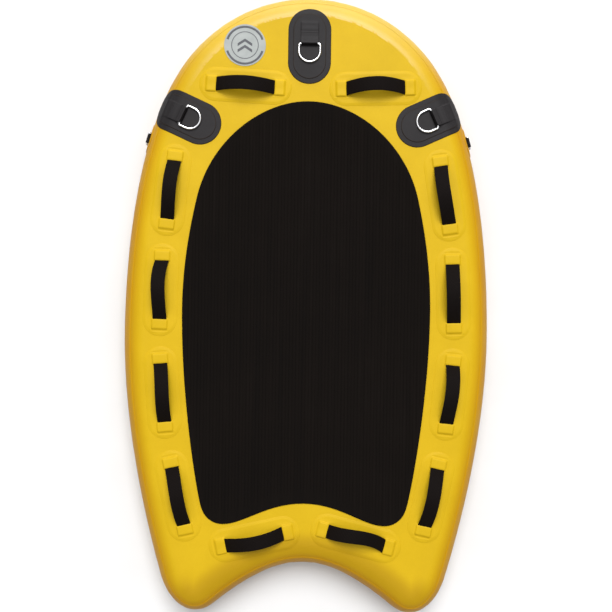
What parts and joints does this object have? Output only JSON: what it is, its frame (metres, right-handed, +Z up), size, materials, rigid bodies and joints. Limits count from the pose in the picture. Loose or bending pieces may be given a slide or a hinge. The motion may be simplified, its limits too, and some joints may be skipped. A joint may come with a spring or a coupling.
{
  "type": "inflatable rescue board",
  "caption": "Flat inflatable rescue board with rounded nose, notched tail, foam deck pad, webbing grab handles, tow rings and side rings.",
  "frame": {"origin": "centre of the board's outline on the plane it lies on", "axes": "+Z up out of the deck, +Y towards the nose, +X to the right with the nose ahead"},
  "size_m": [1.02, 1.72, 0.1913],
  "materials": {
    "yellow_pvc": "satin",
    "grey_pvc": "satin",
    "eva_foam": "matte",
    "webbing": "matte",
    "badge_grey": "satin",
    "steel": "polished",
    "thread": "matte",
    "valve_plastic": "satin",
    "white_plastic": "satin",
    "seal_rubber": "matte"
  },
  "bodies": {
    "board": {"top_skin": "yellow_pvc", "bottom_skin": "yellow_pvc", "rail_liner": "yellow_pvc", "rail_band_right": "yellow_pvc", "rail_band_left": "yellow_pvc", "rail_band_tail": "yellow_pvc", "drop_threads": "thread", "deck_pad": "eva_foam", "badge": "badge_grey", "webbing_ends": "webbing", "handle_patch_nose_right": "yellow_pvc", "handle_patch_right_1": "yellow_pvc", "handle_patch_right_2": "yellow_pvc", "handle_patch_right_3": "yellow_pvc", "handle_patch_right_4": "yellow_pvc", "handle_patch_tail_right": "yellow_pvc", "handle_patch_nose_left": "yellow_pvc", "handle_patch_left_1": "yellow_pvc", "handle_patch_left_2": "yellow_pvc", "handle_patch_left_3": "yellow_pvc", "handle_patch_left_4": "yellow_pvc", "handle_patch_tail_left": "yellow_pvc", "tow_base_nose": "grey_pvc", "tow_base_right": "grey_pvc", "tow_base_left": "grey_pvc", "tow_cover_nose": "grey_pvc", "tow_cover_right": "grey_pvc", "tow_cover_left": "grey_pvc", "tow_loop_nose": "webbing", "tow_loop_right": "webbing", "tow_loop_left": "webbing", "side_patch_right": "yellow_pvc", "side_patch_left": "yellow_pvc", "side_loop_right": "webbing", "side_loop_left": "webbing", "valve_seat": "yellow_pvc", "valve_body": "valve_plastic", "valve_nut": "valve_plastic", "valve_spring": "steel"},
    "handle_nose_right": {"handle_strap_nose_right": "webbing"},
    "handle_right_1": {"handle_strap_right_1": "webbing"},
    "handle_right_2": {"handle_strap_right_2": "webbing"},
    "handle_right_3": {"handle_strap_right_3": "webbing"},
    "handle_right_4": {"handle_strap_right_4": "webbing"},
    "handle_tail_right": {"handle_strap_tail_right": "webbing"},
    "handle_nose_left": {"handle_strap_nose_left": "webbing"},
    "handle_left_1": {"handle_strap_left_1": "webbing"},
    "handle_left_2": {"handle_strap_left_2": "webbing"},
    "handle_left_3": {"handle_strap_left_3": "webbing"},
    "handle_left_4": {"handle_strap_left_4": "webbing"},
    "handle_tail_left": {"handle_strap_tail_left": "webbing"},
    "tow_ring_nose": {"tow_ring_nose": "steel"},
    "tow_ring_right": {"tow_ring_right": "steel"},
    "tow_ring_left": {"tow_ring_left": "steel"},
    "side_ring_right": {"side_ring_right": "steel"},
    "side_ring_left": {"side_ring_left": "steel"},
    "valve_plunger": {"valve_plunger": "white_plastic"},
    "valve_cap": {"valve_cap": "valve_plastic", "valve_cap_seal": "seal_rubber"}
  },
  "joints": [
    {"name": "handle_nose_right_lean", "type": "hinge", "parent": "board", "child": "handle_nose_right", "pos_m": [0.183, 0.598, 0.15], "axis": [0.9996, 0.0297, 0], "range_deg": [-32, 32], "stiffness_Nm_per_rad": 0.1},
    {"name": "handle_right_1_lean", "type": "hinge", "parent": "board", "child": "handle_right_1", "pos_m": [0.3775, 0.3065, 0.15], "axis": [-0.1547, 0.988, 0], "range_deg": [-32, 32], "stiffness_Nm_per_rad": 0.1},
    {"name": "handle_right_2_lean", "type": "hinge", "parent": "board", "child": "handle_right_2", "pos_m": [0.4035, 0.036, 0.15], "axis": [-0.0349, 0.9994, 0], "range_deg": [-32, 32], "stiffness_Nm_per_rad": 0.1},
    {"name": "handle_right_3_lean", "type": "hinge", "parent": "board", "child": "handle_right_3", "pos_m": [0.397, -0.241, 0.15], "axis": [0.0976, 0.9952, 0], "range_deg": [-32, 32], "stiffness_Nm_per_rad": 0.1},
    {"name": "handle_right_4_lean", "type": "hinge", "parent": "board", "child": "handle_right_4", "pos_m": [0.35, -0.5245, 0.15], "axis": [0.2079, 0.9781, 0], "range_deg": [-32, 32], "stiffness_Nm_per_rad": 0.1},
    {"name": "handle_tail_right_lean", "type": "hinge", "parent": "board", "child": "handle_tail_right", "pos_m": [0.1445, -0.64, 0.15], "axis": [0.9694, -0.2453, 0], "range_deg": [-32, 32], "stiffness_Nm_per_rad": 0.1},
    {"name": "handle_nose_left_lean", "type": "hinge", "parent": "board", "child": "handle_nose_left", "pos_m": [-0.175, 0.6005, 0.15], "axis": [-0.9986, 0.0523, 0], "range_deg": [-32, 32], "stiffness_Nm_per_rad": 0.1},
    {"name": "handle_left_1_lean", "type": "hinge", "parent": "board", "child": "handle_left_1", "pos_m": [-0.376, 0.3115, 0.15], "axis": [0.1115, 0.9938, 0], "range_deg": [-32, 32], "stiffness_Nm_per_rad": 0.1},
    {"name": "handle_left_2_lean", "type": "hinge", "parent": "board", "child": "handle_left_2", "pos_m": [-0.4, 0.0365, 0.15], "axis": [0.0279, 0.9996, 0], "range_deg": [-32, 32], "stiffness_Nm_per_rad": 0.1},
    {"name": "handle_left_3_lean", "type": "hinge", "parent": "board", "child": "handle_left_3", "pos_m": [-0.3915, -0.246, 0.15], "axis": [-0.0854, 0.9963, 0], "range_deg": [-32, 32], "stiffness_Nm_per_rad": 0.1},
    {"name": "handle_left_4_lean", "type": "hinge", "parent": "board", "child": "handle_left_4", "pos_m": [-0.3455, -0.5295, 0.15], "axis": [-0.2215, 0.9751, 0], "range_deg": [-32, 32], "stiffness_Nm_per_rad": 0.1},
    {"name": "handle_tail_left_lean", "type": "hinge", "parent": "board", "child": "handle_tail_left", "pos_m": [-0.134, -0.646, 0.15], "axis": [-0.9759, -0.2181, 0], "range_deg": [-32, 32], "stiffness_Nm_per_rad": 0.1},
    {"name": "tow_ring_nose_lift", "type": "hinge", "parent": "board", "child": "tow_ring_nose", "pos_m": [0, 0.717, 0.1583], "axis": [-1, 0, 0], "range_deg": [0, 160]},
    {"name": "tow_ring_right_lift", "type": "hinge", "parent": "board", "child": "tow_ring_right", "pos_m": [0.34451, 0.51678, 0.1583], "axis": [-0.4147, 0.91, 0], "range_deg": [0, 160]},
    {"name": "tow_ring_left_lift", "type": "hinge", "parent": "board", "child": "tow_ring_left", "pos_m": [-0.34451, 0.51678, 0.1583], "axis": [-0.4147, -0.91, 0], "range_deg": [0, 160]},
    {"name": "side_ring_right_swing", "type": "hinge", "parent": "board", "child": "side_ring_right", "pos_m": [0.45093, 0.46302, 0.083], "axis": [0.2745, -0.9616, 0], "range_deg": [-5, 160]},
    {"name": "side_ring_left_swing", "type": "hinge", "parent": "board", "child": "side_ring_left", "pos_m": [-0.45093, 0.46302, 0.083], "axis": [0.2745, 0.9616, 0], "range_deg": [-5, 160]},
    {"name": "valve_plunger_push", "type": "slide", "parent": "board", "child": "valve_plunger", "axis": [0, 1, 0], "range_m": [0, 0.004], "stiffness_N_per_m": 500, "springref_m": -0.002, "deforming": ["valve_spring"]},
    {"name": "valve_cap_turn", "type": "hinge", "parent": "board", "child": "valve_cap", "pos_m": [0, -0.713, 0.075], "axis": [0, -1, 0], "range_deg": [0, 90]}
  ]
}
